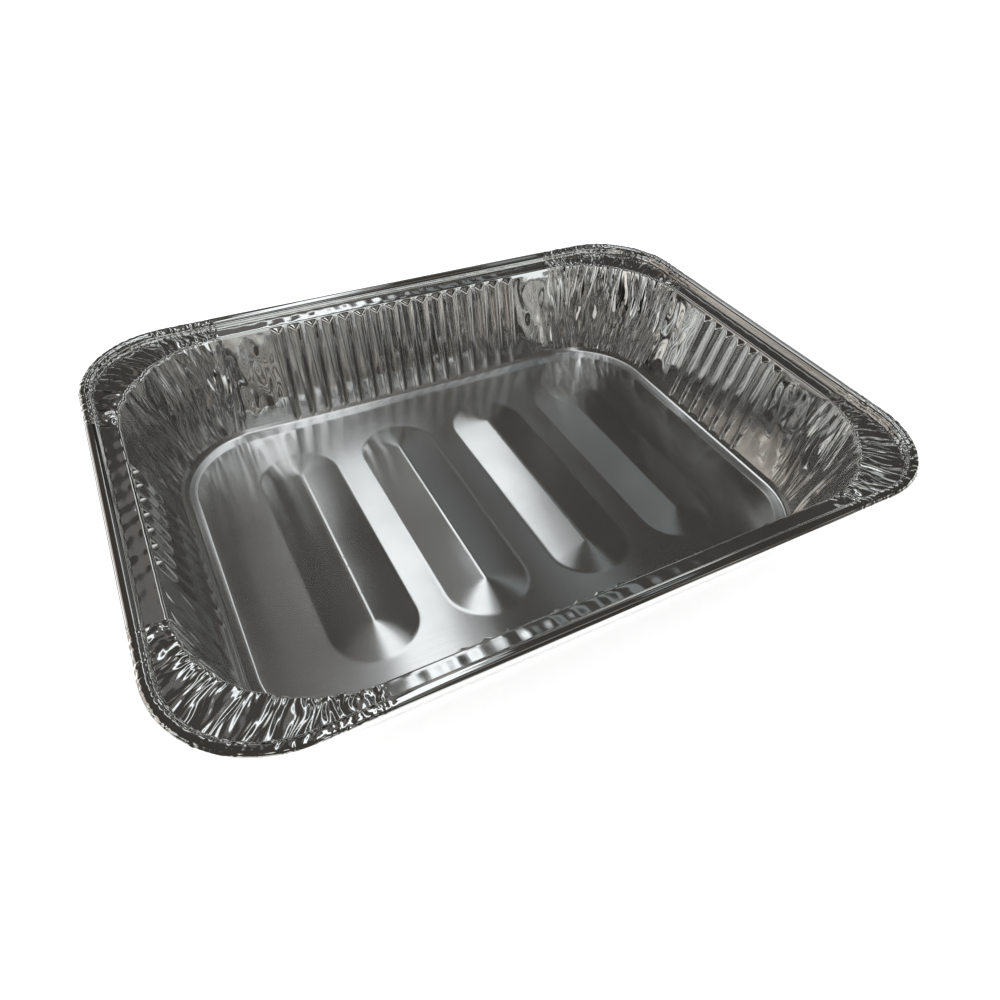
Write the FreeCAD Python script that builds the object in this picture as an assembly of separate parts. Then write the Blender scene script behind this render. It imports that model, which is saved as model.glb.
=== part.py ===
import FreeCAD, Part
import math
import os
from collections import namedtuple

# Rectangular roasting tray, stamped and gathered from one sheet of aluminium foil.
# Millimetres. The origin is under the middle of the base, X runs along the long
# side, Y across it and Z up. The tray stands on its flat base panel.

# Overall size over the rolled rim
rim_length = 326.0
rim_width = 246.0
tray_height = 57.0
sheet = 0.3

# Places across the side, measured inwards from the outer edge of the rim
curl_width = 6.0
flange_inset = 12.2
wall_top_inset = 13.4
foot_inset = 27.2
panel_inset = 33.9

# Heights of the same places above the ground
foot_height = 3.3
wall_top_height = 51.2
flange_height = 52.3
curl_foot_height = 53.0
curl_bottom_height = 51.6

# Corner radii of the outer edge of the rim and of the lip where the flange meets
# the wall. The lip turns wider, so the flange is broad in the corners. Wall foot
# and panel edge turn about the same centre as the lip.
rim_radius = 43.6
lip_radius = 56.0

# Upright flutes in the middle of each wall, as many as fit between the plain
# stretches of wall beside the corners
flute_pitch = 9.0
plain_wall = 22.0
flute_depth_foot = 1.2
flute_depth_top = 2.1
flute_spread = 1.5
flute_cap_drop = 2.4

# Gathers that take up the spare sheet in each corner. Their depth varies from one
# to the next as two waves out of step, given in radians for each half gather.
pleats_per_corner = 22
pleat_depth = 1.5
rim_pleat_depth = 0.6
pleat_variation = 0.5
pleat_wave_short = 2.4
pleat_wave_long = 1.1

# Stiffening ribs pressed up in the base panel
rib_count = 4
rib_pitch = 53.2
rib_half_width = 19.5
rib_ridge_half_length = 49.7
rib_height = 2.2

# The roll of the rim is a six-sided ring that stops just past its lowest edge
curl_angles = (150, 90, 30, -30, -90, -110)

# Share of its size by which a face may bend and still count as flat
flatness = 1e-7

half_length = rim_length / 2
half_width = rim_width / 2
fan_x = half_length - flange_inset - lip_radius
fan_y = half_width - flange_inset - lip_radius

# A station is one line of the cross section that runs all round the tray
Station = namedtuple("Station", "inset height radius")

PANEL, FOOT, WALL_TOP, LIP, CURL = range(5)
SIDES = ((1, 0), (0, 1), (-1, 0), (0, -1))
CORNERS = ((1, 1), (-1, 1), (-1, -1), (1, -1))


def curl_profile():
    """Inset and height of each edge of the rolled rim, from the flange to the free edge."""
    half = curl_width / 2
    middle = (tray_height + curl_bottom_height) / 2
    half_height = (tray_height - curl_bottom_height) / 2
    side = half / math.cos(math.radians(30))
    profile = [(curl_width, curl_foot_height)]
    for angle in curl_angles:
        turn = math.radians(angle)
        profile.append((half - side * math.cos(turn), middle + half_height * math.sin(turn)))
    return profile


def section():
    """Upper skin of the sheet, from the base panel out to the free edge of the curl."""
    well_profile = (
        (panel_inset, sheet),
        (foot_inset, foot_height),
        (wall_top_inset, wall_top_height),
        (flange_inset, flange_height),
    )
    stations = [Station(inset, height, lip_radius + flange_inset - inset)
                for inset, height in well_profile]
    stations += [Station(inset, height, rim_radius - inset) for inset, height in curl_profile()]
    return stations


def unit_normal(first, second):
    """Normal of one stretch of the section, pointing to the under side of the sheet."""
    run = first.inset - second.inset
    rise = second.height - first.height
    length = math.hypot(run, rise)
    return rise / length, -run / length


def under_skin(upper):
    """Section of the under side: every stretch moved square to itself by the sheet."""
    level = Station(upper[0].inset + sheet, upper[0].height, 0)
    last = upper[-1]
    before_last = upper[-2]
    beyond = Station(2 * last.inset - before_last.inset, 2 * last.height - before_last.height, 0)
    lower = []
    for before, here, after in zip([level] + upper[:-1], upper, upper[1:] + [beyond]):
        n1 = unit_normal(before, here)
        n2 = unit_normal(here, after)
        scale = sheet / (1 + n1[0] * n2[0] + n1[1] * n2[1])
        outward = scale * (n1[0] + n2[0])
        upward = scale * (n1[1] + n2[1])
        lower.append(Station(here.inset - outward, here.height + upward, here.radius + outward))
    return lower


def pleat_strength(corner, number):
    """Depth of one gather as a share of the full depth. The gathers are uneven."""
    wave = math.sin(pleat_wave_short * number + corner) * math.cos(pleat_wave_long * number)
    return 1 - pleat_variation * (1 + wave) / 2


def fan_reach(station, angle):
    """Distance from the centre of the lip's corner to a station, along a ray."""
    away_x = half_length - station.inset - station.radius - fan_x
    away_y = half_width - station.inset - station.radius - fan_y
    cosine = math.cos(angle)
    sine = math.sin(angle)
    along = away_x * cosine + away_y * sine
    reach = along + math.sqrt(along ** 2 - away_x ** 2 - away_y ** 2 + station.radius ** 2)
    if reach * sine < away_y:
        reach = (away_x + station.radius) / cosine
    if reach * cosine < away_x:
        reach = (away_y + station.radius) / sine
    return reach


def corner_line(station, index, corner):
    """Points of one station round one corner, on rays, zigzagging at the gathers."""
    side_x, side_y = CORNERS[corner]
    steps = 2 * pleats_per_corner
    points = []
    for step in range(steps + 1):
        turn = math.radians(90 * step / steps)
        reach = fan_reach(station, turn if corner % 2 == 0 else math.pi / 2 - turn)
        height = station.height
        if step % 2 and index in (FOOT, WALL_TOP):
            reach *= 1 + pleat_depth / lip_radius * pleat_strength(corner, step)
        if step % 2 and index >= LIP:
            height -= rim_pleat_depth * pleat_strength(corner, step)
        angle = turn + math.radians(90 * corner)
        points.append(FreeCAD.Vector(
            side_x * fan_x + reach * math.cos(angle), side_y * fan_y + reach * math.sin(angle), height))
    return points


def polygon(points):
    """Flat face through the given points."""
    return Part.Face(Part.makePolygon(points + [points[0]]))


def quad(a, b, c, d):
    """One flat face where the four points lie in a plane, otherwise two triangles."""
    across = (b - a).cross(d - a)
    if abs(across.dot(c - a)) < flatness * across.Length:
        return [polygon([a, b, c, d])]
    return [polygon([a, b, c]), polygon([a, c, d])]


def corner_faces(stations):
    """Gathered sheet of the four corners between each two neighbouring stations."""
    faces = []
    for corner in range(4):
        lines = [corner_line(station, index, corner) for index, station in enumerate(stations)]
        for inner, outer in zip(lines, lines[1:]):
            for step in range(len(inner) - 1):
                faces += quad(inner[step], outer[step], outer[step + 1], inner[step + 1])
    return faces


def side_point(side, along, inset, height):
    """Point of one straight side, placed by its distance from the middle of the side."""
    out_x, out_y = SIDES[side]
    reach = abs(out_x) * half_length + abs(out_y) * half_width - inset
    return FreeCAD.Vector(out_x * reach - out_y * along, out_y * reach + out_x * along, height)


def flute_lines(stations):
    """Where the inner edge of a flute meets the base band, and where its cap ends."""
    panel, foot, top = stations[PANEL], stations[FOOT], stations[WALL_TOP]
    band_slope = (foot.height - panel.height) / (panel.inset - foot.inset)
    rise = top.height - foot.height
    lean = top.inset + flute_depth_top - foot.inset - flute_depth_foot
    low = -band_slope * flute_depth_foot / (rise + band_slope * lean)
    high = 1 - flute_cap_drop / rise
    inset = foot.inset + flute_depth_foot
    return [(inset + share * lean, foot.height + share * rise) for share in (low, high)]


def flute_middles(straight):
    """Places of the flutes along a side, from the middle of its straight stretch."""
    count = int(2 * (straight - plain_wall) / flute_pitch)
    return [(number - (count - 1) / 2) * flute_pitch for number in range(count)]


def side_faces(stations):
    """Straight stretches: plain bands, with the wall between foot and lip fluted."""
    faces = []
    crest_foot, crest_top = flute_lines(stations)
    for side in range(4):
        straight = fan_y if side % 2 == 0 else fan_x
        ends = [[side_point(side, way * straight, station.inset, station.height) for way in (-1, 1)]
                for station in stations]
        foot_line = [ends[FOOT][0]]
        top_line = [ends[WALL_TOP][0]]
        wall_start = (ends[FOOT][0], ends[WALL_TOP][0])
        for middle in flute_middles(straight):
            low_half = flute_spread * flute_depth_foot
            top_half = flute_spread * flute_depth_top
            foot_left, foot_right = [
                side_point(side, middle + way * low_half, *stations[FOOT][:2]) for way in (-1, 1)]
            top_left, top_right = [
                side_point(side, middle + way * top_half, *stations[WALL_TOP][:2]) for way in (-1, 1)]
            low = side_point(side, middle, *crest_foot)
            high = side_point(side, middle, *crest_top)
            faces += quad(wall_start[0], foot_left, top_left, wall_start[1])
            faces += quad(foot_left, low, high, top_left)
            faces += quad(low, foot_right, top_right, high)
            faces.append(polygon([top_left, high, top_right]))
            foot_line += [foot_left, low, foot_right]
            top_line += [top_left, top_right]
            wall_start = (foot_right, top_right)
        faces += quad(wall_start[0], ends[FOOT][1], ends[WALL_TOP][1], wall_start[1])
        foot_line.append(ends[FOOT][1])
        top_line.append(ends[WALL_TOP][1])
        faces.append(polygon(ends[PANEL] + foot_line[::-1]))
        faces.append(polygon(top_line + ends[LIP][::-1]))
        for inner, outer in zip(ends[LIP:], ends[LIP + 1:]):
            faces.append(polygon(inner + outer[::-1]))
    return faces


def rib_outline(x, height):
    """Long outline with round ends where one rib meets the panel."""
    w, y = rib_half_width, rib_ridge_half_length
    corners = [FreeCAD.Vector(x + w * i, y * j, height) for i, j in ((1, -1), (1, 1), (-1, 1), (-1, -1))]
    far_end = FreeCAD.Vector(x, y + w, height)
    near_end = FreeCAD.Vector(x, -y - w, height)
    return Part.Wire([
        Part.LineSegment(corners[0], corners[1]).toShape(),
        Part.Arc(corners[1], far_end, corners[2]).toShape(),
        Part.LineSegment(corners[2], corners[3]).toShape(),
        Part.Arc(corners[3], near_end, corners[0]).toShape(),
    ])


def rib_faces(x, height):
    """Two slopes that meet in a ridge, and half a flat cone at each end of it."""
    w, y = rib_half_width, rib_ridge_half_length
    ridge = [FreeCAD.Vector(x, way * y, height + rib_height) for way in (-1, 1)]
    faces = []
    for way in (-1, 1):
        edge = [FreeCAD.Vector(x + way * w, end * y, height) for end in (-1, 1)]
        faces.append(polygon([edge[0], edge[1], ridge[1], ridge[0]]))
        end = FreeCAD.Vector(x, way * y, height)
        cone = Part.makeCone(w, 0, rib_height, end, FreeCAD.Vector(0, 0, 1), 180)
        cone.rotate(end, FreeCAD.Vector(0, 0, 1), 90 - 90 * way)
        faces += [face for face in cone.Faces if isinstance(face.Surface, Part.Cone)]
    return faces


def base_faces(stations):
    """Flat base panel with its ribs."""
    panel = stations[PANEL]
    outline = []
    for corner in range(4):
        outline += corner_line(panel, PANEL, corner)
    wires = [Part.makePolygon(outline + [outline[0]])]
    faces = []
    for number in range(rib_count):
        x = (number - (rib_count - 1) / 2) * rib_pitch
        wires.append(rib_outline(x, panel.height))
        faces += rib_faces(x, panel.height)
    faces.append(Part.makeFace(wires, "Part::FaceMakerBullseye"))
    return faces


def free_edge_faces(upper, lower):
    """Cut edge of the sheet inside the curl."""
    faces = []
    upper_line = []
    lower_line = []
    for corner in range(4):
        upper_line += corner_line(upper[-1], CURL, corner)
        lower_line += corner_line(lower[-1], CURL, corner)
    for step in range(len(upper_line)):
        following = (step + 1) % len(upper_line)
        faces += quad(upper_line[step], upper_line[following], lower_line[following], lower_line[step])
    return faces


def foil_tray():
    """The whole tray: both skins of the sheet, joined along its free edge."""
    upper = section()
    lower = under_skin(upper)
    faces = free_edge_faces(upper, lower)
    for stations in (upper, lower):
        faces += base_faces(stations) + side_faces(stations) + corner_faces(stations)
    skin = Part.makeCompound(faces)
    skin.sewShape()
    tray = Part.Solid(skin.Shells[0])
    if tray.Volume < 0:
        tray.reverse()
    return tray


tray = foil_tray()
os.makedirs("parts", exist_ok=True)
tray.exportStep("parts/foil_tray.step")
print("foil_tray valid", tray.isValid(), "faces", len(tray.Faces), "volume", round(tray.Volume, 1))
box = tray.BoundBox
print("size", round(box.XLength, 3), round(box.YLength, 3), round(box.ZLength, 3), "low", round(box.ZMin, 4))
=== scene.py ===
import math
import bpy
import numpy as np
from mathutils import Matrix, Vector
from mathutils.geometry import delaunay_2d_cdt

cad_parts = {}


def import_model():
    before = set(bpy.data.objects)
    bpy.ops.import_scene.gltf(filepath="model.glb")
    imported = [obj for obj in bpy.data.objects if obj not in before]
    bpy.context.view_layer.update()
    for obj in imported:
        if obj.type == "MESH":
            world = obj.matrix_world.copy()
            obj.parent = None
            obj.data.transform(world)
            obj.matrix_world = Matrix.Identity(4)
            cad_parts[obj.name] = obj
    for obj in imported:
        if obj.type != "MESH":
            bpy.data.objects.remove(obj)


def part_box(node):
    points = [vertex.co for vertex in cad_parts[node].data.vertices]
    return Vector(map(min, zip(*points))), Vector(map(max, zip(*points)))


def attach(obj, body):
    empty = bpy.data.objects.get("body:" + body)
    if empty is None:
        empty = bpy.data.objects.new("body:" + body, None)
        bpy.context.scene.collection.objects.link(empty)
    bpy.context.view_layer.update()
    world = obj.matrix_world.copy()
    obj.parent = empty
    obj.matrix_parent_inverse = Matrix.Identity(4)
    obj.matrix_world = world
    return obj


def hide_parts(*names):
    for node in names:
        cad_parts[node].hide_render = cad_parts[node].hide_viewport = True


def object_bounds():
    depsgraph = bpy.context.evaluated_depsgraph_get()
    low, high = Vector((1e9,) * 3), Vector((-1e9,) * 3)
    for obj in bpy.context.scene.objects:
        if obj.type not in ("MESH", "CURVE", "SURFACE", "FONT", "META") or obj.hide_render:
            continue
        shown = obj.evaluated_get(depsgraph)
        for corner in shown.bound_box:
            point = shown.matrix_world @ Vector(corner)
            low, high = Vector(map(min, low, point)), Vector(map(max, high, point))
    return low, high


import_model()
cad_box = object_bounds()

# Lengths in the shape code are millimetres. Meshes, lamps and the floor are in metres.
MM = 0.001

low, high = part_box("foil_tray")
half_length = (high[0] - low[0]) / 2 / MM
half_width = (high[1] - low[1]) / 2 / MM
tray_height = (high[2] - low[2]) / MM
sheet = 0.3

# Cross section, the same as in the solid. Insets run inwards from the edge of the rim,
# and heights are those of the upper skin.
curl_width = 6.0
flange_inset = 12.2
wall_top_inset = 13.4
foot_inset = 27.2
panel_inset = 33.9
foot_height = 3.3
wall_top_height = 51.2
flange_height = 52.3
curl_foot_height = 53.0
curl_bottom_height = 51.6
rim_radius = 43.6
lip_radius = 56.0
wall_height = wall_top_height - foot_height

# Centres of the lip's corners
fan_x = half_length - flange_inset - lip_radius
fan_y = half_width - flange_inset - lip_radius

# Small step between the border band and the foot of the wall
ledge_inset = 28.7
ledge_height = 1.6

# Upright flutes of the walls. Each falls away evenly from its ridge line and ends under
# the lip in a slanted cap. A plain stretch of wall is left beside each corner.
flute_pitch = 9.0
plain_wall = 22.0
flute_depth_foot = 1.2
flute_depth_top = 2.1
flute_spread = 1.5
flute_cap_drop = 2.4
crease_round = 0.35

rib_count = 4
rib_pitch = 53.2
rib_half_width = 19.5
rib_ridge_half_length = 49.7
rib_height = 2.2

# The curl starts beside the flange, goes over the top and ends tucked in below.
# Fine lines run along it at these angles, in degrees.
curl_start = -28
curl_end = 302
curl_lines = (28, 62, 98, 134, 166, 205)
curl_line_half_angle = 5
curl_line_depth = 0.10

# Places along the sheet from where a corner starts, negative before it: the gathers
# fade in within the corner, and the plain wall beside it has dents.
gather_fade = 4
dents_start = -26
dents_full = -16

# Depths of the folds, dents and waves
mean_gather = 0.55
broad_fold_depth = 0.95
narrow_fold_depth = 0.36
bulge_depth = 0.20
wave_depth = 0.04
dent_depth = 0.42
crinkle_depth = 0.40
sharp_crinkle_depth = 0.36
fine_crinkle_depth = 0.05
dimple_depth = 0.13
flange_wave_depth = 0.06
crimp_depth = 0.24
outer_crimp_loss = 0.17
panel_wave_depth = 0.09
panel_ripple_depth = 0.012

# How finely the sheet is divided
columns_per_corner = 320
plain_step = 1.4
curl_plain_steps = 4
flange_rows = 16
neck_rows = 4
band_rows = 4
panel_step = 1.64
panel_crease_step = 1.2
crease_strip = 1.0
curl_widest_angle = 14
sharp_angle = 65


def noise(u, v, seed):
    """Smooth noise from about -1 to 1 over two coordinates."""
    size = 256
    angle = np.random.default_rng(seed).uniform(0, 2 * math.pi, (size, size))
    slope_u, slope_v = np.cos(angle), np.sin(angle)
    cell_u, cell_v = np.floor(u).astype(int), np.floor(v).astype(int)
    part_u, part_v = u - cell_u, v - cell_v
    ease_u = part_u ** 3 * (part_u * (6 * part_u - 15) + 10)
    ease_v = part_v ** 3 * (part_v * (6 * part_v - 15) + 10)

    def corner(step_u, step_v):
        """Height that one corner of its cell gives each point."""
        at = (cell_u + step_u) % size, (cell_v + step_v) % size
        return slope_u[at] * (part_u - step_u) + slope_v[at] * (part_v - step_v)

    near = corner(0, 0) + (corner(1, 0) - corner(0, 0)) * ease_u
    far = corner(0, 1) + (corner(1, 1) - corner(0, 1)) * ease_u
    return 1.5 * (near + (far - near) * ease_v)


def swells(columns, level, width, changes, seed, sway=0.0):
    """Noise over the sheet, from about -1 to 1.

    Its swells have this width along the sheet. They change this many times while the
    level goes from 0 to 1 across the sheet, and sway shifts them by shares of a swell."""
    return noise(columns.place / width + sway, level * changes + 0 * columns.place, seed)


def folds(columns, level, width, changes, seed, sway=0.0):
    """Rounded swells from 0 to about 1 with a sharp crease between each two of them."""
    gain = 1.6
    most = 1.2
    return np.minimum(np.abs(swells(columns, level, width, changes, seed, sway)) * gain, most)


def smooth_step(value, start, end):
    """0 before the start, 1 after the end and a soft rise between them."""
    share = np.clip((value - start) / (end - start), 0, 1)
    return share * share * (3 - 2 * share)


class Columns:
    """Lines that run from the base up to the rim, spread all round the tray.

    On the sides they follow the creases of the flutes, so their places along the
    side differ a little between the foot of the wall and its top."""

    def __init__(self, fluted):
        sides = ((1, 0), (0, 1), (-1, 0), (0, -1))
        corners = ((fan_x, fan_y), (-fan_x, fan_y), (-fan_x, -fan_y), (fan_x, -fan_y))
        rows = []
        travelled = 0.0
        for side, (out, corner) in enumerate(zip(sides, corners)):
            straight = fan_y if side % 2 == 0 else fan_x
            half = half_length if side % 2 == 0 else half_width
            rows += side_columns(out, straight, half, travelled + straight, fluted)
            travelled += 2 * straight
            rows += corner_columns(corner, side, travelled)
            travelled += lip_radius * math.pi / 2
        table = np.array(rows).T
        self.base = table[0:2]
        self.out = table[2:4]
        self.along_foot, self.along_top = table[4:6]
        self.offset_foot, self.offset_top = table[6:8]
        self.turn, self.half, self.place, self.beyond = table[8:12]
        self.in_corner = self.half == 0
        self.count = len(self.place)
        self.gather = smooth_step(self.beyond, 0, gather_fade)
        self.plain = smooth_step(self.beyond, dents_start, dents_full) * (1 - self.gather)

    def reach_well(self, inset):
        """Distance along each column to a place on the wall or base, for one inset."""
        return np.where(self.in_corner, lip_radius + flange_inset - inset, self.half - inset)

    def reach_rim(self, inset):
        """The same on the curl, whose corners turn tighter than the lip."""
        radius = rim_radius - inset
        away_x = half_length - inset - radius - fan_x
        away_y = half_width - inset - radius - fan_y
        cosine, sine = np.cos(self.turn), np.sin(self.turn)
        along = away_x * cosine + away_y * sine
        reach = along + np.sqrt(along ** 2 - away_x ** 2 - away_y ** 2 + radius ** 2)
        with np.errstate(divide="ignore"):
            reach = np.where(reach * sine < away_y, (away_x + radius) / cosine, reach)
            reach = np.where(reach * cosine < away_x, (away_y + radius) / sine, reach)
        return np.where(self.in_corner, reach, self.half - inset)

    def points(self, reach, height, climb):
        """Places of one row, for a share of the way from the foot of the wall to its top."""
        along = self.along_foot + (self.along_top - self.along_foot) * climb
        x = self.base[0] + self.out[0] * reach - self.out[1] * along
        y = self.base[1] + self.out[1] * reach + self.out[0] * along
        return np.column_stack([x, y, np.broadcast_to(height, x.shape)])


# Both functions below give for each column: its base point, its direction, its places
# along the side and from the middle of a flute, each at the foot and at the top, its
# turn within a corner, the half size of the tray on a side, its way round the lip and
# how far into a corner it is. Columns beside no flute are one pitch away from it.

def side_columns(out, straight, half, middle_place, fluted):
    """Columns of one straight stretch, at the creases of each flute and between."""
    count = int(2 * (straight - plain_wall) / flute_pitch)
    edge = count * flute_pitch / 2
    steps = int((straight - edge) / plain_step) if fluted else curl_plain_steps
    across = flute_stops() if fluted else [(-flute_pitch / 2, -flute_pitch / 2), (0, 0)]
    away = (flute_pitch, flute_pitch)
    stops = [(-s, -s, *away) for s in np.linspace(straight, edge, steps, endpoint=False)]
    for number in range(count):
        middle = (number - (count - 1) / 2) * flute_pitch
        stops += [(middle + foot, middle + top, foot, top) for foot, top in across]
    stops += [(s, s, *away) for s in np.linspace(edge, straight, steps, endpoint=False)]
    rows = []
    for foot, top, offset_foot, offset_top in stops:
        place = middle_place + (foot + top) / 2
        beyond = abs(foot) - straight
        rows.append((0, 0, *out, foot, top, offset_foot, offset_top, 0, half, place, beyond))
    return rows


def corner_columns(middle, side, travelled):
    """Columns that fan out round one corner of the lip."""
    quarter = math.pi / 2
    away = (flute_pitch, flute_pitch)
    rows = []
    for step in range(columns_per_corner):
        turn = quarter * step / columns_per_corner
        angle = turn + quarter * side
        out = (math.cos(angle), math.sin(angle))
        mirrored = turn if side % 2 == 0 else quarter - turn
        place = travelled + lip_radius * turn
        beyond = lip_radius * min(turn, quarter - turn)
        rows.append((*middle, *out, 0, 0, *away, mirrored, 0, place, beyond))
    return rows


def flute_stops():
    """Places across one flute at the foot and at the top of the wall, from its middle."""
    edge_foot = flute_spread * flute_depth_foot
    edge_top = flute_spread * flute_depth_top
    half = flute_pitch / 2
    one_side = [(crease_round, crease_round)]
    one_side += [(edge_foot / 2, edge_top / 2)]
    one_side += [(edge_foot + way * crease_round, edge_top + way * crease_round)
                 for way in (-1, 0, 1)]
    outer = one_side[-1]
    one_side += [((outer[0] + half) / 2, (outer[1] + half) / 2)]
    other_side = [(-foot, -top) for foot, top in one_side[::-1]]
    return [(-half, -half)] + other_side + [(0, 0)] + one_side


def flute_depth(columns, climb):
    """How far the fluted wall stands in, for a share of the way up from foot to top."""
    ridge_round = 0.7 * crease_round
    side_round = 0.12
    cap_round = 0.15
    depth = flute_depth_foot + (flute_depth_top - flute_depth_foot) * climb
    offset = columns.offset_foot + (columns.offset_top - columns.offset_foot) * climb
    rounded = np.sqrt(offset ** 2 + ridge_round ** 2)
    ridge = depth - rounded / flute_spread
    ridge = (ridge + np.sqrt(ridge ** 2 + side_round ** 2)) / 2
    cap = depth * (1 - climb) * wall_height / flute_cap_drop
    return (ridge + cap - np.sqrt((ridge - cap) ** 2 + cap_round ** 2)) / 2


def wall_gathers(columns, climb):
    """Uneven folds of the sheet down the corner walls, outwards positive."""
    sway = swells(columns, climb, width=12, changes=1.3, seed=11)
    wander = swells(columns, climb, width=3, changes=3, seed=12)
    broad = folds(columns, climb, width=6.5, changes=1.2, seed=13, sway=0.9 * sway)
    narrow = folds(columns, climb, width=2.8, changes=1.5, seed=14,
                   sway=1.4 * sway + 0.3 * wander)
    bulge = swells(columns, climb, width=7, changes=2.5, seed=15)
    return (mean_gather - broad_fold_depth * broad - narrow_fold_depth * narrow
            + bulge_depth * bulge)


def wall_waves(columns, climb):
    """Dents of the plain wall beside the gathers, and slight waves elsewhere."""
    small_share = 0.35
    broad = swells(columns, climb, width=9, changes=2.2, seed=21)
    small = swells(columns, climb, width=4, changes=5, seed=22)
    return (wave_depth + dent_depth * columns.plain) * (broad + small_share * small)


def wall_row(columns, inset, height):
    """Reach, height and share of the way up for one row of the wall's inner skin.

    The foot keeps a share of the gathers, and the waves fade out towards both edges."""
    foot_share = 0.3
    gathers_full = 0.10
    waves_full = 0.12
    foot_end = 0.03
    climb = min(max((height - foot_height) / wall_height, 0.0), 1.0)
    hold = foot_share + (1 - foot_share) * smooth_step(climb, 0, gathers_full)
    fade = smooth_step(climb, 0, waves_full) * smooth_step(1 - climb, 0, waves_full)
    shift = hold * columns.gather * wall_gathers(columns, climb)
    shift = shift + fade * wall_waves(columns, climb)
    inward = flute_depth(columns, climb) - shift
    near_foot = 1 - smooth_step(climb, 0, foot_end)
    ledge_slope = (foot_height - ledge_height) / (ledge_inset - foot_inset)
    return columns.reach_well(inset) - inward, height - ledge_slope * inward * near_foot, climb


def lip_bend(columns):
    """Crumpled lip: its shift outwards and its height, beside the plain line."""
    rest = 0.35
    fold_out = 0.8
    fold_up = 0.45
    fine_share = 0.2
    kink_depth = 0.10
    wander = swells(columns, 0, width=4, changes=0, seed=30)
    folded = folds(columns, 0.5, width=2.3, changes=1, seed=31, sway=0.5 * wander)
    fine = swells(columns, 0, width=1.1, changes=0, seed=32)
    nicks = swells(columns, 0, width=1.4, changes=0, seed=33)
    kinks = swells(columns, 0, width=4.5, changes=0, seed=34)
    outward = columns.gather * (rest - fold_out * folded + fine_share * fine)
    upward = columns.gather * (fold_up * folded - rest + fine_share * nicks)
    bent = kink_depth * (1 - columns.gather) * kinks
    return outward + bent, upward + bent


def wall_skin(columns):
    """Rows of the wall from the foot to the lip. They lie closer at both edges."""
    near_foot = (0, 0.5, 1.2, 2.2, 3.4)
    between = np.linspace(4.8, wall_height - 3.6, 27)
    near_top = wall_height - np.array([2.9, 2.4, 1.9, 1.4, 0.9, 0.45, 0])
    rows = []
    for rise in (*near_foot, *between, *near_top):
        inset = foot_inset + (wall_top_inset - foot_inset) * rise / wall_height
        rows.append(wall_row(columns, inset, foot_height + rise))
    top_reach, top_height, _ = rows[-1]
    outward, upward = lip_bend(columns)
    lip_reach = columns.reach_well(flange_inset) + outward
    lip_height = flange_height + upward
    for step in range(1, neck_rows + 1):
        angle = math.pi / 2 * step / neck_rows
        rows.append((top_reach + (lip_reach - top_reach) * (1 - math.cos(angle)),
                     top_height + (lip_height - top_height) * math.sin(angle), 1.0))
    return rows


def flange_folds(columns, part):
    """Radial crinkles across the flange corners, and dimples beside the flutes."""
    width = 2.6
    narrower = 1.13
    dimples_start = 3
    dimples_full = 14
    twist = 0.9 * swells(columns, part, width=6, changes=1, seed=41)
    swell = swells(columns, part, width=width, changes=0.8, seed=42, sway=twist)
    sharp = folds(columns, part, width=width / narrower, changes=1, seed=43,
                  sway=twist * narrower)
    fine = swells(columns, part, width=1.1, changes=3, seed=44)
    crinkle = (crinkle_depth * swell + sharp_crinkle_depth * (sharp - 0.5)
               + fine_crinkle_depth * fine)
    strength = 0.6 + 0.4 * swells(columns, part, width=13, changes=1, seed=45)
    beside_flute = np.cos(2 * math.pi * columns.along_top / flute_pitch)
    near_flutes = smooth_step(-columns.beyond, dimples_start, dimples_full)
    mid_flange = math.sin(math.pi * part)
    dimples = dimple_depth * strength * beside_flute * near_flutes * mid_flange ** 0.4
    waves = swells(columns, part, width=14, changes=1.2, seed=46)
    waves = flange_wave_depth * waves * mid_flange
    return columns.gather * crinkle + (1 - columns.gather) * (dimples + waves)


def flange_skin(columns):
    """Rows of the flange, from the lip to the foot of the curl."""
    lip_share = 0.22
    rows = []
    outward, upward = lip_bend(columns)
    lip_reach = columns.reach_well(flange_inset) + outward
    foot_reach = columns.reach_rim(curl_width)
    for step in range(flange_rows + 1):
        part = step / flange_rows
        at_lip = 1 - smooth_step(part, 0, lip_share)
        bend = upward * at_lip + flange_folds(columns, part) * (1 - at_lip)
        height = flange_height + (curl_foot_height - flange_height) * part
        rows.append((lip_reach + (foot_reach - lip_reach) * part, height + bend, 1.0))
    return rows


def curl_angles():
    """Angles of the rows of the curl: three at each fine line and some in between."""
    angles = []
    for line in curl_lines:
        angles += [line - curl_line_half_angle, line, line + curl_line_half_angle]
    edges = [curl_start] + angles + [curl_end]
    for here, there in zip(edges, edges[1:]):
        parts = math.ceil((there - here) / curl_widest_angle)
        angles += [here + (there - here) * part / parts for part in range(1, parts)]
    return sorted(angles) + [curl_end]


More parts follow.
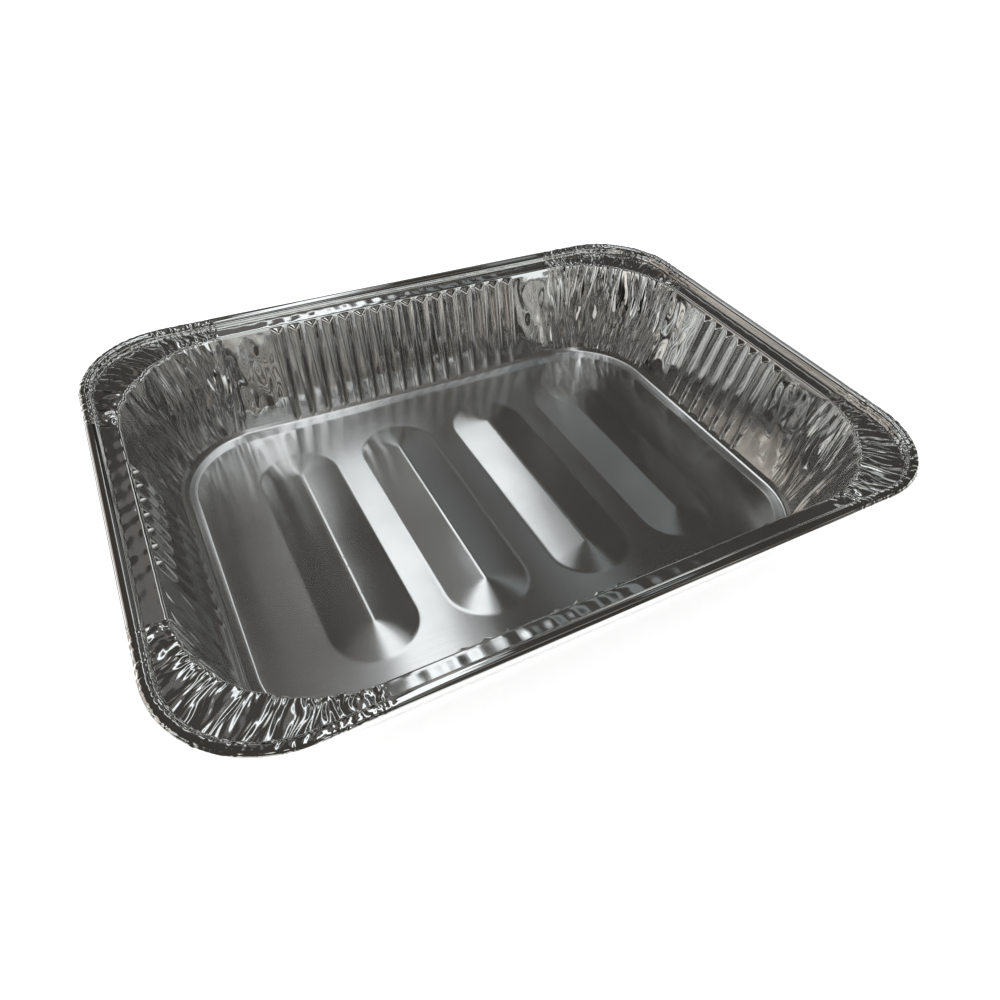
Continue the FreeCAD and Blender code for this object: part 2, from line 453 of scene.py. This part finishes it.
def curl_skin(columns):
    """Rows of the curl, from the edge of the flange to the tucked free edge.

    Each place is pressed in from the round curl, most in the crimps of the corners."""
    least_pressed = 0.04
    mean_pressed = 0.10
    uneven_pressed = 0.05
    outer_start = 100
    outer_end = 190
    settle_share = 1 / 8
    foot_bend = flange_folds(columns, 1.0)
    rows = [(columns.reach_rim(curl_width), curl_foot_height + foot_bend, 1.0)]
    middle = (tray_height + curl_bottom_height) / 2
    half_tall = (tray_height - curl_bottom_height) / 2
    half_wide = curl_width / 2
    for angle in curl_angles():
        part = (angle - curl_start) / (curl_end - curl_start)
        turn = math.radians(angle)
        wander = swells(columns, part, width=3, changes=3, seed=51)
        crimp = folds(columns, part, width=2.1, changes=3.5, seed=52, sway=0.6 * wander)
        fine = swells(columns, part, width=0.9, changes=12, seed=53)
        slow = swells(columns, part, width=17, changes=4, seed=54)
        outer_side = smooth_step(angle, outer_start, outer_end)
        deep = crimp_depth - outer_crimp_loss * outer_side
        crimped = deep * (1 - crimp) + deep / 4 * np.abs(fine)
        pressed = mean_pressed + columns.gather * crimped
        pressed = pressed + uneven_pressed * (1 - columns.gather) * (1 + slow)
        if angle in curl_lines:
            pressed = pressed + curl_line_depth
        pressed = np.maximum(pressed, least_pressed)
        inset = half_wide + (half_wide - pressed) * math.cos(turn)
        height = middle + (half_tall - pressed) * math.sin(turn)
        settle = max(0.0, 1 - part / settle_share)
        rows.append((reach_uneven(columns, inset), height + foot_bend * settle, 1.0))
    return rows


def reach_uneven(columns, inset):
    """Reach on the curl where the inset differs from column to column."""
    middle = curl_width / 2
    plain = columns.reach_rim(middle)
    step = 0.5
    slope = (columns.reach_rim(middle - step) - plain) / step
    return plain + slope * (middle - inset)


def sheet_skins(columns, rows):
    """Points of both skins: the under skin lies one sheet below the upper one."""
    mean_reach = np.array([np.mean(row[0]) for row in rows])
    mean_height = np.array([np.mean(row[1]) for row in rows])
    run = np.gradient(mean_reach)
    rise = np.gradient(mean_height)
    length = np.hypot(run, rise)
    upper = []
    lower = []
    for (reach, height, climb), x, z in zip(rows, rise / length * sheet, -run / length * sheet):
        upper.append(columns.points(reach, height, climb))
        lower.append(columns.points(reach + x, height + z, climb))
    return upper, lower


def ring_mesh(name, upper, lower, span=None):
    """Closed mesh between two skins, all round or for a span of the columns."""
    rings = upper + lower[::-1]
    count = len(upper[0])
    if span is None:
        chosen = np.arange(count)
        following = (chosen + 1) % count
    else:
        chosen = np.arange(span[0], span[1] + 1) % count
        rings = [ring[chosen] for ring in rings]
        count = len(chosen)
        following = np.arange(1, count)
    first = np.arange(len(following))
    total = len(rings)
    faces = []
    for ring in range(total):
        a = ring * count
        b = (ring + 1) % total * count
        faces.append(np.column_stack([a + first, b + first, b + following, a + following]))
    if span is not None:
        half = total // 2
        for column in (0, count - 1):
            for row in range(half - 1):
                ends = [row, row + 1, total - 2 - row, total - 1 - row]
                corners = [ring * count + column for ring in (ends if column else ends[::-1])]
                faces.append(np.array([corners]))
    return mesh_object(name, np.concatenate(rings), np.concatenate(faces))


def mesh_object(name, points, faces):
    """Object with its mesh in metres, made from millimetres. Only real creases are sharp."""
    mesh = bpy.data.meshes.new(name)
    corners = faces.shape[1]
    mesh.vertices.add(len(points))
    mesh.vertices.foreach_set("co", (points * MM).astype(np.float32).ravel())
    mesh.loops.add(faces.size)
    mesh.loops.foreach_set("vertex_index", faces.astype(np.int32).ravel())
    mesh.polygons.add(len(faces))
    mesh.polygons.foreach_set("loop_start", np.arange(0, faces.size, corners, dtype=np.int32))
    mesh.update(calc_edges=True)
    mesh.validate()
    mesh.shade_smooth()
    mesh.set_sharp_from_angle(angle=math.radians(sharp_angle))
    piece = bpy.data.objects.new(name, mesh)
    bpy.context.scene.collection.objects.link(piece)
    return piece


def rib_centres():
    """Places of the ribs along the tray."""
    return [(number - (rib_count - 1) / 2) * rib_pitch for number in range(rib_count)]


def rib_rise(x, y):
    """Height of the ribs above the panel: each falls evenly away from its ridge line."""
    rise = np.zeros_like(x)
    for centre in rib_centres():
        beyond = np.maximum(np.abs(y) - rib_ridge_half_length, 0)
        distance = np.hypot(x - centre, beyond)
        rise = np.maximum(rise, rib_height * (1 - distance / rib_half_width))
    return rise


def panel_waves(x, y):
    """Slight rise of the uneven foil in the base, never below the flat panel.

    The added numbers only choose a place in the noise."""
    broad_x, broad_y = 43, 37
    small_x, small_y = 15, 24
    broad = noise(x / broad_x + 40.3, y / broad_y + 40.6, 61)
    small = noise(x / small_x + 40.1, y / small_y + 40.2, 62)
    return np.maximum(panel_wave_depth * (1 + broad) + panel_ripple_depth * (1 + small), 0)


def stadium(centre, radius):
    """Points of a long outline with round ends, all at one distance from a ridge."""
    fewest = 8
    around = max(fewest, int(math.pi * radius / panel_crease_step))
    along = int(2 * rib_ridge_half_length / panel_crease_step)
    points = []
    for way in (1, -1):
        for step in range(around + 1):
            angle = math.pi * step / around
            points.append((centre + way * radius * math.cos(angle),
                           way * (rib_ridge_half_length + radius * math.sin(angle))))
        for step in range(1, along):
            y = way * rib_ridge_half_length * (1 - 2 * step / along)
            points.append((centre - way * radius, y))
    return points


def panel_triangles(outline):
    """Flat panel cut into triangles that follow the ribs' creases.

    The points between them are scattered about rows, each shifted by half a step from
    the last. None of them shares a cell with a point of a crease."""
    cell = 1.0
    margin = 1.2
    scatter = 0.2
    merge_distance = 1e-5
    inner_edge = rib_half_width - crease_round
    outer_edge = rib_half_width + crease_round
    radii = (crease_round, inner_edge, outer_edge,
             crease_round + crease_strip, inner_edge - crease_strip, outer_edge + crease_strip)
    points = [tuple(p) for p in outline]
    edges = [(i, (i + 1) % len(points)) for i in range(len(points))]
    for centre in rib_centres():
        for radius in radii:
            crease = stadium(centre, radius)
            start = len(points)
            points += crease
            edges += [(start + i, start + (i + 1) % len(crease)) for i in range(len(crease))]
    taken = {(int(x // cell), int(y // cell)) for x, y in points}
    reach_x = half_length - panel_inset
    reach_y = half_width - panel_inset
    rows = int(2 * reach_y / (panel_step * math.sqrt(0.75)))
    columns = int(2 * reach_x / panel_step)
    filling = [(-reach_x + (column + 0.25 + 0.5 * (row % 2)) * 2 * reach_x / columns,
                -reach_y + 2 * reach_y * row / rows)
               for row in range(1, rows) for column in range(columns)]
    moved = np.random.default_rng(5).uniform(-scatter, scatter, (len(filling), 2))
    filling = np.array(filling) + moved
    for x, y in filling[inside_round(filling, reach_x - margin, reach_y - margin)]:
        if (int(x // cell), int(y // cell)) not in taken:
            points.append((x, y))
    flat = [Vector(p) for p in points]
    placed, _, triangles, _, _, _ = delaunay_2d_cdt(flat, edges, [], 0, merge_distance)
    return np.array([tuple(v) for v in placed]), np.array(triangles)


def inside_round(points, reach_x, reach_y):
    """Which points lie inside the panel's rounded outline."""
    radius = lip_radius + flange_inset - panel_inset
    dx = np.maximum(np.abs(points[:, 0]) - (reach_x - radius), 0)
    dy = np.maximum(np.abs(points[:, 1]) - (reach_y - radius), 0)
    return np.hypot(dx, dy) < radius


def band_rings(columns):
    """Rings from the panel over the border band and the step to the foot of the wall."""
    ledge_lift = 0.1
    foot_reach, foot_rise, _ = wall_row(columns, foot_inset, foot_height)
    slope = (ledge_height - sheet) / (panel_inset - ledge_inset)
    profile = [(panel_inset + crease_round, sheet),
               (panel_inset, sheet + slope * crease_round / 4)]
    for inset in np.linspace(panel_inset - crease_round, ledge_inset + crease_round, band_rows):
        profile.append((inset, sheet + slope * (panel_inset - inset)))
    ledge_top = ledge_height + ledge_lift
    profile.append((ledge_inset, ledge_top))
    rings = [columns.points(columns.reach_well(inset), height, 0.0) for inset, height in profile]
    start_reach = columns.reach_well(ledge_inset)
    for part in (0.3, 0.6, 1.0):
        reach = start_reach + (foot_reach - start_reach) * part
        height = ledge_top + (foot_rise - ledge_top) * part
        rings.append(columns.points(reach, height, 0.0))
    return rings


def base_piece(columns):
    """Panel, ribs and the border band up to the foot of the wall."""
    rings = band_rings(columns)
    count = columns.count
    plan, triangles = panel_triangles(rings[0][:, :2])
    x, y = plan.T
    from_edge = np.minimum(half_length - panel_inset - np.abs(x),
                           half_width - panel_inset - np.abs(y))
    flat_edge = 0.5
    full_waves = 12
    wavy = smooth_step(from_edge, flat_edge, full_waves)
    height = sheet + rib_rise(x, y) + panel_waves(x, y) * wavy
    height[:count] = sheet
    points = [np.column_stack([plan, height])]
    faces = [triangles]
    inner = np.arange(count)
    following = (inner + 1) % count
    first_of_ring = len(plan)
    for ring in rings[1:]:
        outer = first_of_ring + np.arange(count)
        points.append(ring)
        faces.append(np.column_stack([inner, outer, outer[following]]))
        faces.append(np.column_stack([inner, outer[following], inner[following]]))
        inner = outer
        first_of_ring += count
    upper = np.concatenate(points)
    upper_faces = np.concatenate(faces)
    size = len(upper)
    lower = upper - (0, 0, sheet)
    edge = [np.column_stack([inner, inner + size, inner[following] + size]),
            np.column_stack([inner, inner[following] + size, inner[following]])]
    everything = np.concatenate([upper_faces, upper_faces[:, ::-1] + size] + edge)
    return mesh_object("tray_base", np.concatenate([upper, lower]), everything)


def wall_pieces(columns):
    """Left and right half of the walls, parted between the two middle flutes."""
    upper, lower = sheet_skins(columns, wall_skin(columns))
    middle = np.abs(columns.along_foot) < crease_round / 2
    back = int(np.flatnonzero(middle & (columns.out[1] == 1))[0])
    front = int(np.flatnonzero(middle & (columns.out[1] == -1))[0])
    return [ring_mesh("tray_wall_left", upper, lower, (back, front)),
            ring_mesh("tray_wall_right", upper, lower, (front, back + columns.count))]


def add_node(tree, kind, **inputs):
    """Node of one kind with the plain numbers of its sockets."""
    node = tree.nodes.new(kind)
    for name, value in inputs.items():
        node.inputs[name.replace("_", " ")].default_value = value
    return node


def foil_material(name, gloss, grain_scale, grain_depth, smear=0.0):
    """Bright rolled aluminium: rolling lines along the tray and uneven gloss.

    Gloss holds the lowest and highest roughness. Smear is how much the rolling lines
    draw reflections out across the tray."""
    material = bpy.data.materials.new(name)
    material.use_nodes = True
    tree = material.node_tree
    tree.nodes.clear()
    output = add_node(tree, "ShaderNodeOutputMaterial")
    foil = add_node(tree, "ShaderNodeBsdfPrincipled", Metallic=1.0, Anisotropic=smear)
    across = add_node(tree, "ShaderNodeVectorTransform", Vector=(0, 1, 0))
    across.vector_type = "VECTOR"
    across.convert_from = "OBJECT"
    across.convert_to = "WORLD"
    place = add_node(tree, "ShaderNodeTexCoord")
    stretch = add_node(tree, "ShaderNodeMapping", Scale=grain_scale)
    rolling = add_node(tree, "ShaderNodeTexNoise", Scale=1.0, Detail=3.0)
    cloud = add_node(tree, "ShaderNodeTexNoise", Scale=24.0, Detail=4.0)
    roughness = add_node(tree, "ShaderNodeMapRange", From_Min=0.3, From_Max=0.7,
                         To_Min=gloss[0], To_Max=gloss[1])
    tone = add_node(tree, "ShaderNodeMix")
    tone.data_type = "RGBA"
    darker, lighter = [socket for socket in tone.inputs if socket.type == "RGBA"]
    darker.default_value = (0.80, 0.80, 0.79, 1)
    lighter.default_value = (0.90, 0.90, 0.90, 1)
    mixed = [socket for socket in tone.outputs if socket.type == "RGBA"][0]
    bump = add_node(tree, "ShaderNodeBump", Strength=1.0, Distance=grain_depth * MM)
    links = tree.links
    links.new(place.outputs["Object"], stretch.inputs["Vector"])
    links.new(stretch.outputs["Vector"], rolling.inputs["Vector"])
    links.new(place.outputs["Object"], cloud.inputs["Vector"])
    links.new(cloud.outputs["Fac"], roughness.inputs["Value"])
    links.new(roughness.outputs["Result"], foil.inputs["Roughness"])
    links.new(rolling.outputs["Fac"], bump.inputs["Height"])
    links.new(bump.outputs["Normal"], foil.inputs["Normal"])
    links.new(across.outputs[0], foil.inputs["Tangent"])
    links.new(rolling.outputs["Fac"], tone.inputs["Factor"])
    links.new(mixed, foil.inputs["Base Color"])
    links.new(foil.outputs["BSDF"], output.inputs["Surface"])
    return material


def finish_piece(piece, material):
    """Give a piece its material and its place in the frame's table."""
    piece.data.materials.append(material)
    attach(piece, "root")
    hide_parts("foil_tray")


def backdrop_share(tree, socket):
    """1 for rays that show the background: camera, mirror and see-through rays."""
    path = add_node(tree, "ShaderNodeLightPath")
    add = add_node(tree, "ShaderNodeMath")
    add_more = add_node(tree, "ShaderNodeMath")
    add_more.use_clamp = True
    tree.links.new(path.outputs["Is Camera Ray"], add.inputs[0])
    tree.links.new(path.outputs["Is Glossy Ray"], add.inputs[1])
    tree.links.new(add.outputs[0], add_more.inputs[0])
    tree.links.new(path.outputs["Is Transmission Ray"], add_more.inputs[1])
    tree.links.new(add_more.outputs[0], socket)


def floor():
    """Pale floor just under the tray. It keeps the tray's shadow."""
    size = 3.0
    gap = 0.1 * MM
    paint_grey = 0.86
    glow_grey = 0.45
    corners = [(-size, -size, 0), (size, -size, 0), (size, size, 0), (-size, size, 0)]
    mesh = bpy.data.meshes.new("floor")
    mesh.from_pydata(corners, [], [(0, 1, 2, 3)])
    ground = bpy.data.objects.new("floor", mesh)
    ground.location.z = cad_box[0][2] - gap
    bpy.context.scene.collection.objects.link(ground)
    material = bpy.data.materials.new("pale_floor")
    material.use_nodes = True
    tree = material.node_tree
    tree.nodes.clear()
    output = add_node(tree, "ShaderNodeOutputMaterial")
    paint = add_node(tree, "ShaderNodeBsdfDiffuse", Color=(paint_grey,) * 3 + (1,))
    glow = add_node(tree, "ShaderNodeEmission", Color=(glow_grey,) * 3 + (1,))
    both = add_node(tree, "ShaderNodeAddShader")
    backdrop_share(tree, glow.inputs["Strength"])
    tree.links.new(paint.outputs[0], both.inputs[0])
    tree.links.new(glow.outputs[0], both.inputs[1])
    tree.links.new(both.outputs[0], output.inputs["Surface"])
    mesh.materials.append(material)


def world():
    """Room for mirror rays: white horizon, uneven walls and a dim ceiling.

    It is white behind the object, and plain for all other rays. Walls and ceiling fade
    in between two heights each, and the shades of the walls lie at places of the noise."""
    white = (1, 1, 1, 1)
    plain_brightness = 0.85
    ceiling_shade = (0.044, 0.041, 0.037, 1)
    wall_shades = ((0.44, (0.012, 0.011, 0.010, 1)), (0.50, (0.070, 0.066, 0.058, 1)),
                   (0.56, (0.42, 0.41, 0.37, 1)), (0.67, (0.95, 1.00, 1.00, 1)))
    room = bpy.data.worlds.new("room")
    bpy.context.scene.world = room
    room.use_nodes = True
    tree = room.node_tree
    tree.nodes.clear()
    output = add_node(tree, "ShaderNodeOutputWorld")
    plain = add_node(tree, "ShaderNodeBackground", Color=white, Strength=plain_brightness)
    horizon = add_node(tree, "ShaderNodeBackground", Color=white)
    ceiling = add_node(tree, "ShaderNodeBackground", Color=ceiling_shade)
    walls = add_node(tree, "ShaderNodeBackground")
    direction = add_node(tree, "ShaderNodeTexCoord")
    split = add_node(tree, "ShaderNodeSeparateXYZ")
    things = add_node(tree, "ShaderNodeTexNoise", Scale=2.8, Detail=2.0, Distortion=0.6)
    shades = add_node(tree, "ShaderNodeValToRGB")
    elements = shades.color_ramp.elements
    for position, shade in wall_shades:
        elements.new(position).color = shade
    elements.remove(elements[-1])
    elements.remove(elements[0])
    links = tree.links
    links.new(direction.outputs["Generated"], split.inputs[0])
    links.new(direction.outputs["Generated"], things.inputs["Vector"])
    links.new(things.outputs["Fac"], shades.inputs["Fac"])
    links.new(shades.outputs["Color"], walls.inputs["Color"])
    seen = horizon
    for start, end, above in ((0.0, 0.06, walls), (0.38, 0.50, ceiling)):
        level = add_node(tree, "ShaderNodeMapRange", From_Min=start, From_Max=end)
        both = add_node(tree, "ShaderNodeMixShader")
        links.new(split.outputs["Z"], level.inputs["Value"])
        links.new(level.outputs["Result"], both.inputs["Fac"])
        links.new(seen.outputs[0], both.inputs[1])
        links.new(above.outputs[0], both.inputs[2])
        seen = both
    rays = add_node(tree, "ShaderNodeLightPath")
    behind = add_node(tree, "ShaderNodeMixShader")
    links.new(rays.outputs["Is Camera Ray"], behind.inputs["Fac"])
    links.new(seen.outputs[0], behind.inputs[1])
    links.new(horizon.outputs[0], behind.inputs[2])
    mix = add_node(tree, "ShaderNodeMixShader")
    backdrop_share(tree, mix.inputs["Fac"])
    links.new(plain.outputs[0], mix.inputs[1])
    links.new(behind.outputs[0], mix.inputs[2])
    links.new(mix.outputs[0], output.inputs["Surface"])


def area_lamp(name, place, target, width, length, brightness, colour, turn=0.0):
    """Rectangular lamp. Brightness 1 looks white in a mirror."""
    lamp = bpy.data.lights.new(name, "AREA")
    lamp.shape = "RECTANGLE"
    lamp.size = width
    lamp.size_y = length
    lamp.energy = math.pi * width * length * brightness
    lamp.color = colour
    holder = bpy.data.objects.new(name, lamp)
    holder.location = place
    aim = (Vector(target) - Vector(place)).to_track_quat("-Z", "Y").to_matrix()
    holder.rotation_euler = (aim @ Matrix.Rotation(turn, 3, "Z")).to_euler()
    bpy.context.scene.collection.objects.link(holder)


def ceiling_lamp(name, middle, width, near, far, brightness, colour):
    """Lamp flat on the ceiling along the slanted line of the window's reflection.

    Places are given as for a ceiling one metre up: the lamp's middle line crosses
    y = 0 at the given x and runs a little to the right from there."""
    ceiling = 2.0
    lean = 0.17
    y = (near + far) / 2
    place = Vector((middle + lean * y, y, 1)) * ceiling
    below = place - Vector((0, 0, 1))
    length = (far - near) * ceiling * math.hypot(1, lean)
    area_lamp(name, place, below, width * ceiling, length, brightness, colour, -math.atan(lean))


def lamps():
    """Window, its side and the rest of the room, as they show in the foil."""
    tray_place = (0, 0, 0)
    cool = (0.94, 0.98, 1.0)
    cooler = (0.86, 0.96, 1.0)
    cream = (1.0, 0.98, 0.94)
    warm = (1.0, 0.96, 0.90)
    ceiling_lamp("window", middle=0.13, width=0.15, near=-0.80, far=1.50,
                 brightness=1.15, colour=cool)
    ceiling_lamp("window_edge", middle=0.235, width=0.05, near=-0.10, far=1.40,
                 brightness=0.35, colour=cool)
    area_lamp("window_side", place=(0.361, 0.45, 0.6), target=(0.361, 0.45, 0.0),
              width=0.078, length=0.9, brightness=0.19, colour=cooler)
    ceiling_lamp("lit_ceiling", middle=-0.09, width=0.17, near=-0.10, far=1.40,
                 brightness=0.08, colour=cream)
    area_lamp("room_above", place=(0.6, -1.2, 1.9), target=tray_place,
              width=1.3, length=0.8, brightness=0.13, colour=warm)
    area_lamp("room_behind", place=(-1.3, -1.8, 0.65), target=tray_place,
              width=1.2, length=0.7, brightness=0.60, colour=(1.0, 0.98, 0.93))
    area_lamp("room_left", place=(-1.6, 1.0, 0.55), target=tray_place,
              width=1.6, length=0.7, brightness=0.50, colour=(1.0, 0.92, 0.82))
    area_lamp("room_right", place=(2.0, 0.9, 0.65), target=tray_place,
              width=1.1, length=0.6, brightness=0.40, colour=(0.95, 1.0, 0.98))


def camera():
    """Close, wide view from the front left, as in the photograph.

    Focal length and centre are in pixels of the photograph."""
    image_size = 1000
    focal = 725.14
    centre_x = 492.05
    centre_y = 499.26
    azimuth = math.radians(29.98)
    pitch = math.radians(43.81)
    roll = math.radians(3.26)
    place = Vector((-130.02, -230.62, 250.11)) * MM
    flat = math.cos(pitch)
    forward = Vector((math.sin(azimuth) * flat, math.cos(azimuth) * flat, -math.sin(pitch)))
    level = forward.cross(Vector((0, 0, 1))).normalized()
    level_up = level.cross(forward)
    right = level * math.cos(roll) + level_up * math.sin(roll)
    up = right.cross(forward)
    view = bpy.data.cameras.new("camera")
    view.sensor_width = 36.0
    view.lens = focal / image_size * view.sensor_width
    view.shift_x = (image_size / 2 - centre_x) / image_size
    view.shift_y = (centre_y - image_size / 2) / image_size
    view.clip_start = 0.01
    holder = bpy.data.objects.new("camera", view)
    axes = Matrix((right, up, -forward)).transposed().to_4x4()
    holder.matrix_world = Matrix.Translation(place) @ axes
    bpy.context.scene.collection.objects.link(holder)
    bpy.context.scene.camera = holder


def tray():
    """All pieces of the tray: satin base, bright walls and curl, softer flange."""
    base_grain = (40.0, 1300.0, 300.0)
    wall_grain = (60.0, 1300.0, 700.0)
    satin = foil_material("satin_foil", gloss=(0.18, 0.25), grain_scale=base_grain,
                          grain_depth=0.0020, smear=1.0)
    bright = foil_material("bright_foil", gloss=(0.035, 0.075), grain_scale=wall_grain,
                           grain_depth=0.0003)
    soft = foil_material("rim_foil", gloss=(0.09, 0.14), grain_scale=wall_grain,
                         grain_depth=0.0003)
    columns = Columns(fluted=True)
    finish_piece(base_piece(columns), satin)
    for wall in wall_pieces(columns):
        finish_piece(wall, bright)
    flange = ring_mesh("tray_flange", *sheet_skins(columns, flange_skin(columns)))
    finish_piece(flange, soft)
    plain_columns = Columns(fluted=False)
    curl = ring_mesh("tray_curl", *sheet_skins(plain_columns, curl_skin(plain_columns)))
    finish_piece(curl, bright)


camera()
floor()
world()
lamps()
tray()

bpy.context.scene.view_settings.view_transform = "Standard"
